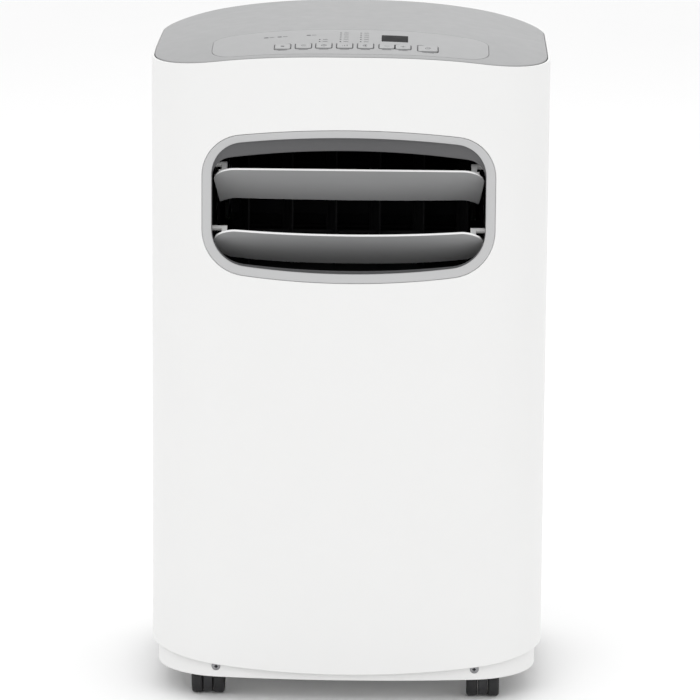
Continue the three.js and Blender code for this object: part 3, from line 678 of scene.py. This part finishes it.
def film_marks():
    """Printed outlines round the keys, and short bars under the keys and beside the lamps."""
    outlines, bars = [], []
    for name in KEY_NAMES:
        x, y, half_x, half_y, _ = CELLS[name]
        wide, deep = half_x + 0.9 * MM, half_y + 0.9 * MM
        line = rounded(x - wide, x + wide, y - deep, y + deep, 2.6 * MM, 5)
        outlines.append(line + line[:1])
        below = y - half_y - 3.2 * MM
        bars.append([(x - 0.6 * half_x, below), (x + 0.6 * half_x, below)])
    bars += [[(x + 3.6 * MM, y), (x + 8.4 * MM, y)] for x, y in LAMPS]
    verts, faces = drawn(outlines, 0.5 * MM, on_lid(PRINT_LIFT))
    more_verts, more_faces = drawn(bars, 0.7 * MM, on_lid(PRINT_LIFT))
    faces += [tuple(len(verts) + i for i in quad) for quad in more_faces]
    marks = piece("film_marks", verts + more_verts, faces, DARK_PRINT_AND_SHADE, slot="display_black")
    thicken(marks, 0.04 * MM)


film_marks()
for number, (lamp_x, lamp_y) in enumerate(LAMPS):
    wide = 2.4 * MM if number < 3 else 0.9 * MM
    loop = rounded(lamp_x - wide, lamp_x + wide, lamp_y - 0.9 * MM, lamp_y + 0.9 * MM, 0.85 * MM, 5)
    lamp = piece(f"lamp_{number + 1}", *sheet(loop, [], 5 * MM, on_lid(0.08 * MM)), DARK_PRINT_AND_SHADE, slot="display_black")
    thicken(lamp, 0.15 * MM)


# ---- air outlet -------------------------------------------------------------------

def outlet_ring():
    """A dished ring: its face falls inwards from a rounded outer rim."""
    loops = []
    for part, depth in ((0.0, 3.6), (0.0, 0.9), (0.02, 0.45), (0.06, 0.15), (0.12, 0.05), (0.3, 0.5), (0.6, 1.3),
                        (0.88, 2.1), (0.96, 2.4), (1.0, 2.9), (1.0, 3.8)):
        place = on_wall(depth * MM)
        loops.append([place(*spot) for spot in on_front(outlet_outline(FRAME_WIDTH * part, FRAME_LIFT * part))])
    made = piece("outlet_ring", *loft(loops), FRAME, "outlet_frame", smooth=50)
    return thicken(made, 0.5 * MM)


outlet_ring()


def outlet_bevel():
    drop, back = 13.4 * MM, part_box("outlet_bevel")[1].y
    front_loop = outlet_outline(FRAME_WIDTH, FRAME_LIFT)
    back_loop = outlet_outline(FRAME_WIDTH + 1.2 * MM, drop, 33 * MM)
    front_ys = [on_wall(2.9 * MM)(*spot)[1] for spot in on_front(front_loop)]

    def back_y(x):
        return back - 2.4 * MM * (1 - min(1.0, max(0.0, (abs(x) - 139 * MM) / (9 * MM))))
    loops = []
    for part in (0.0, 0.06, 0.15, 0.3, 0.45, 0.6, 0.75, 0.9, 1.0):
        fall, deep = part ** 1.7, 1 - (1 - part) ** 1.9
        loops.append([(a[0] + (b[0] - a[0]) * fall, y + (back_y(b[0]) - y) * deep, a[1] + (b[1] - a[1]) * fall)
                      for a, b, y in zip(front_loop, back_loop, front_ys)])
    made = piece("outlet_slope", *loft(loops), BEVEL, "outlet_bevel", smooth=60)
    return thicken(made, 1.6 * MM)


outlet_bevel()

FACE_Y, BLADE_THICK, OPEN = -17 * MM, 2.4 * MM, radians(50)


def blade_outline(kind):
    """Upper: straight top and downturned bottom corners. Lower: bowed along both edges."""
    corner, across = 24 * MM, 122.8 * MM
    top = (17.5 if kind == "upper" else 23) * MM
    right = arc(across, top - corner, corner, 0, pi / 2, 12)
    left = arc(-across, top - corner, corner, pi / 2, pi, 12)
    if kind == "upper":
        half = [(0, -46.8), (60, -46.1), (100, -45.1), (122, -44.3), (127, -44.5), (131, -45.6), (135, -47.9),
                (138.5, -50.6), (140.5, -51.8), (142, -52)]
        return [(-x * MM, z * MM) for x, z in reversed(half)] + [(x * MM, z * MM) for x, z in half[1:]] + right + left
    across_mm = [130 * i / 20 for i in range(-20, 21)]
    low = [(x * MM, (-46 + 12 * abs(x / 130) ** 2.6) * MM) for x in across_mm]
    side = [(136.5, -29), (141, -20.5), (144.3, -12)]
    crest = [(-x * 0.9 * MM, (14.3 + 8.7 * (x * 0.9 / 122.8) ** 2) * MM) for x in across_mm]
    return low + [(x * MM, z * MM) for x, z in side] + right + crest + left + \
        [(-x * MM, z * MM) for x, z in reversed(side)]


def louver_blade(kind):
    pivot = Vector(joints[f"{kind}_louver_tilt"]["pos_m"])
    turn = Matrix.Rotation(OPEN, 3, "X")

    def place(x, z):
        hollow = 0.7 * MM * max(0.0, 1 - ((z + 14 * MM) / (32 * MM)) ** 2)
        return Vector((0, pivot.y, pivot.z)) + turn @ Vector((x, FACE_Y + hollow, z))
    made = piece(f"louver_{kind}", *sheet(spread(blade_outline(kind), 5 * MM), [], 6 * MM, place), SHADED_LOUVER,
                 f"{kind}_louver_blade")
    # The solidify rim faces get the near-white painted highlight material.
    made.data.materials.append(LOUVER_EDGE_HIGHLIGHT)
    thicken(made, BLADE_THICK)
    made.modifiers["thickness"].material_offset_rim = 1
    soften(made, 0.7 * MM)


for louver_kind in ("upper", "lower"):
    louver_blade(louver_kind)


# ---- round pieces -----------------------------------------------------------------
def turned(profile, axis, centre, steps=48):
    """Faces of a closed profile of (radius, distance along the axis) turned about an axis."""
    verts, faces = [], []
    count = len(profile)
    for i in range(steps):
        angle = 2 * pi * i / steps
        c, s = cos(angle), sin(angle)
        for radius, along in profile:
            point = {"x": (along, radius * c, radius * s), "y": (radius * s, along, radius * c),
                     "z": (radius * c, radius * s, along)}[axis]
            verts.append(Vector(centre) + Vector(point))
    for i in range(steps):
        j = (i + 1) % steps
        for k in range(count):
            m = (k + 1) % count
            if profile[k][0] < 1e-9 and profile[m][0] < 1e-9:
                continue
            faces.append((i * count + k, i * count + m, j * count + m, j * count + k))
    return verts, faces


def turned_piece(name, profile, axis, centre, look, node=None, steps=48, **where):
    made = piece(name, *turned(profile, axis, centre, steps), look, node, **where)
    mesh = bmesh.new()
    mesh.from_mesh(made.data)
    bmesh.ops.remove_doubles(mesh, verts=mesh.verts, dist=1e-6)
    bmesh.ops.recalc_face_normals(mesh, faces=mesh.faces)
    mesh.to_mesh(made.data)
    mesh.free()
    made.data.shade_smooth()
    made.data.set_sharp_from_angle(angle=radians(40))
    return made


WHEEL_RADIUS, WHEEL_IN, WHEEL_OUT, TREAD_ROUND, AXLE_RADIUS = 19 * MM, 5.9 * MM, 17.9 * MM, 3 * MM, 2.5 * MM
WEB_RADIUS, WEB_HALF = 18 * MM, 5.1 * MM
HOOD_IN, HOOD_OUT = 20.1 * MM, 22 * MM
QUARTER = [pi / 2 * i / 5 for i in range(6)]


def wheel_profile(side):
    """Round-shouldered tyre, with a flat inner face and a dished outer one."""
    bore = 2.6 * MM
    inner = [(WHEEL_RADIUS - TREAD_ROUND + TREAD_ROUND * sin(a), WHEEL_IN + 2.9 * MM - TREAD_ROUND * cos(a))
             for a in QUARTER]
    outer = [(WHEEL_RADIUS - TREAD_ROUND + TREAD_ROUND * cos(a), WHEEL_OUT - 2.7 * MM + TREAD_ROUND * sin(a))
             for a in QUARTER]
    hub = [(14 * MM, WHEEL_OUT), (12.5 * MM, 16.4 * MM), (5 * MM, 16.4 * MM), (4 * MM, 17.6 * MM), (bore, 17.6 * MM)]
    profile = [(bore, WHEEL_IN), (14 * MM, WHEEL_IN), *inner, *outer, *hub]
    return [(radius, side * along) for radius, along in profile]


def castor_wheels(spot_name, axle):
    node = f"castor_wheels_{spot_name}"
    loose = {"body": BODY_OF[node], "slot": "castor_black"}
    turned_piece(f"wheel_{spot_name}_inner", wheel_profile(-1), "x", axle, TREAD, node, 40)
    turned_piece(f"wheel_{spot_name}_outer", wheel_profile(1), "x", axle, TREAD, None, 40, **loose)
    end = 17 * MM
    turned_piece(f"axle_{spot_name}", [(0, -end), (AXLE_RADIUS, -end), (AXLE_RADIUS, end), (0, end)], "x",
                 axle, STEEL, None, 20, body=BODY_OF[node], slot="steel")


def castor_hood(spot_name, axle):
    """Curved cover over both wheels."""
    loops = []
    for across, shrink in ((17.5, 1.2), (16.5, 0.0), (-16.5, 0.0), (-17.5, 1.2)):
        outer = arc(axle.y, axle.z, HOOD_OUT - shrink * MM, radians(150), radians(35), 20)
        inner = arc(axle.y, axle.z, HOOD_IN + 0.3 * shrink * MM, radians(35), radians(150), 20)
        loops.append([(axle.x + across * MM, y, z) for y, z in outer + inner])
    verts, faces = loft(loops, cap=True)
    faces.append(tuple(reversed(range(len(loops[0])))))
    piece(f"castor_hood_{spot_name}", verts, faces, CASTOR, f"castor_housing_{spot_name}")


def castor_web(spot_name, swivel, axle):
    """Disc-like web between the wheels, up to the top plate."""
    loop = [(swivel.y + y * MM, z * MM) for y, z in ((9, 40.5), (-13, 40.5))]
    loop += arc(axle.y, WHEEL_RADIUS, WEB_RADIUS, radians(115), radians(250), 18)
    loop += [(swivel.y + y * MM, z * MM) for y, z in ((0, 14), (6, 24))]
    count = len(loop)
    verts = [(swivel.x + side * WEB_HALF, y, z) for side in (-1, 1) for y, z in loop]
    faces = [tuple(reversed(range(count))), tuple(range(count, 2 * count))]
    faces += [(i, (i + 1) % count, count + (i + 1) % count, count + i) for i in range(count)]
    web = piece(f"castor_web_{spot_name}", verts, faces, CASTOR, body=BODY_OF[f"castor_housing_{spot_name}"],
                slot="castor_black")
    soften(web, 1.0 * MM)


STEM = [(r * MM, z * MM) for r, z in ((0, 38), (8, 38), (8, 46), (5, 46.5), (5, 62), (4, 63), (0, 63))]
for spot_name, swivel in SPOTS:
    axle = Vector(joints[f"castor_wheels_{spot_name}_roll"]["pos_m"])
    castor_wheels(spot_name, axle)
    castor_hood(spot_name, axle)
    castor_web(spot_name, swivel, axle)
    turned_piece(f"castor_stem_{spot_name}", STEM, "z", (swivel.x, swivel.y, 0), STEEL, None, 28,
                 body=BODY_OF[f"castor_housing_{spot_name}"], slot="steel")

SCREW_HEAD = [(r * MM, y * MM) for r, y in ((1, 1.6), (1.6, 0.25), (3.4, 0.5), (4.7, 1.3), (5.2, 2.2), (5.2, 2.9),
                                            (2.2, 2.9), (2.2, 11.7), (0, 11.7), (0, 1.6))]
RECESS = 1.9 * MM
for side_name in ("left", "right"):
    low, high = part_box(f"base_screw_{side_name}")
    centre = Vector(((low.x + high.x) / 2, low.y, (low.z + high.z) / 2))
    turned_piece(f"screw_{side_name}", SCREW_HEAD, "y", centre, SCREW, f"base_screw_{side_name}")
    # A flat dark cross laid on the screw head stands in for its cross recess: painted shade, not a cut.
    cross = drawn([[(-RECESS, 0), (RECESS, 0)], [(0, -RECESS), (0, RECESS)]], 1.0 * MM,
                  lambda x, z: centre + Vector((x, 0.15 * MM, z)))
    thicken(piece(f"screw_recess_shade_{side_name}", *cross, DARK_PRINT_AND_SHADE, slot="display_black"), 0.1 * MM)

# ---- back ------------------------------------------------------------------------
MARGIN, MULLION, SLOT_PITCH, SLOT = 10 * MM, 5 * MM, 8.5 * MM, 4.6 * MM


def slot_loops(low, high, columns=3):
    """Round-ended slots in columns, over a cover with a plain margin."""
    rows = int((high.z - low.z - 22 * MM) / SLOT_PITCH)
    start = (low.z + high.z) / 2 - (rows - 1) * SLOT_PITCH / 2
    width = (high.x - low.x - 2 * MARGIN) / columns
    loops = []
    for row in range(rows):
        for column in range(columns):
            x = low.x + MARGIN + column * width + MULLION / 2
            z = start + row * SLOT_PITCH
            slot = rounded(x, x + width - MULLION, z - SLOT / 2, z + SLOT / 2, SLOT * 0.45, 3)
            loops.append(on_rear(spread(slot, 9 * MM)))
    return loops


for cover_name, node, low, high in (("filter_door", "filter_cover", FILTER_LOW, FILTER_HIGH),
                                    ("lower_grille", "intake_grille", GRILLE_LOW, GRILLE_HIGH)):
    cover = piece(cover_name, *sheet(rear_window(low, high, 0.0), slot_loops(low, high), 12 * MM, on_wall()), WHITE,
                  node)
    soften(thicken(cover, 2.6 * MM), 0.45 * MM)
    net_loop = rounded(low.x + 4 * MM, high.x - 4 * MM, low.z + 4 * MM, high.z - 4 * MM, 8 * MM)
    net = piece(f"{node}_net", *sheet(on_rear(spread(net_loop, 12 * MM)), [], 14 * MM, on_wall(4.6 * MM)), BLACK,
                body=BODY_OF[node], slot="inner_black")
    thicken(net, 0.6 * MM)

collar_x, collar_z, collar_radius = COLLAR
collar_long = COLLAR_HIGH.y - COLLAR_LOW.y
collar_ring = [(-5, 0), (0, 0), (0, collar_long / MM - 2), (-0.6, collar_long / MM - 0.6), (-2, collar_long / MM),
               (-3.5, collar_long / MM - 0.6), (-5, collar_long / MM - 2.4)]
turned_piece("hose_collar", [(collar_radius + r * MM, y * MM) for r, y in collar_ring], "y",
             (collar_x, COLLAR_LOW.y, collar_z), WHITE, "exhaust_collar", 72)

for cap_name, node, spec in (("drain_plug_upper", "upper_drain_cap", UPPER_CAP),
                             ("drain_plug_lower", "lower_drain_cap", LOWER_CAP)):
    low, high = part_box(node)
    tall = high.y - low.y
    cap_x, cap_z, radius = spec
    cap = [(0, 0), (radius - 3 * MM, 0), (radius - 3 * MM, 8 * MM), (radius, 8 * MM), (radius, tall - 1 * MM),
           (radius - 1 * MM, tall), (radius * 0.6, tall), (radius * 0.52, tall - 0.8 * MM), (0, tall - 0.8 * MM)]
    turned_piece(cap_name, cap, "y", (cap_x, low.y, cap_z), CASTOR, node)

low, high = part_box("cord_gland")
gland = [(3, 5), (3, 17), (4.4, 17), (5, 16.4), (5, 14), (5.8, 13.6), (5.8, 12), (7, 11), (7.4, 9), (9, 8), (9, 0),
         (0, 0), (0, 5)]
turned_piece("cord_strain_relief", [(r * MM, y * MM) for r, y in gland], "y", (GLAND[0], low.y, GLAND[1]),
             CASTOR, "cord_gland", 36)


# ---- floor and light --------------------------------------------------------------
def studio():
    floor_mesh = bpy.data.meshes.new("floor")
    rim = [(x, y, 0) for x, y in arc(0, 0, 18.0, 0, 2 * pi, 64)[:-1]]
    floor_mesh.from_pydata(rim, [], [tuple(range(len(rim)))])
    floor_mesh.update()
    floor = bpy.data.objects.new("floor", floor_mesh)
    bpy.context.scene.collection.objects.link(floor)
    paper = Recipe("paper", 0.9)
    paper.colour(paper.tint(paper.noise(1.5), (0.93, 0.93, 0.93), (0.96, 0.96, 0.96)))
    floor_mesh.materials.append(paper.material)
    floor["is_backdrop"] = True
    world = bpy.data.worlds.new("world")
    world.use_nodes = True
    world.node_tree.nodes["Background"].inputs["Color"].default_value = (1, 1, 1, 1)
    world.node_tree.nodes["Background"].inputs["Strength"].default_value = 1.0
    bpy.context.scene.world = world
    bpy.context.scene.view_settings.view_transform = "Standard"
    lights = [("key", (-1.6, -3.2, 3.4), 1.8, 15), ("fill", (2.6, -3.0, 1.8), 2.2, 5),
              ("top", (0, 0.2, 3.6), 2.2, 12), ("rear", (0.5, 3.0, 2.8), 2.0, 8)]
    for name, spot, size, power in lights:
        data = bpy.data.lights.new(name, "AREA")
        data.shape, data.size, data.energy = "SQUARE", size, power
        lamp = bpy.data.objects.new(name, data)
        lamp.location = spot
        lamp.rotation_euler = (Vector((0, 0, 0.4)) - Vector(spot)).to_track_quat("-Z", "Y").to_euler()
        bpy.context.scene.collection.objects.link(lamp)


studio()
low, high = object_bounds()
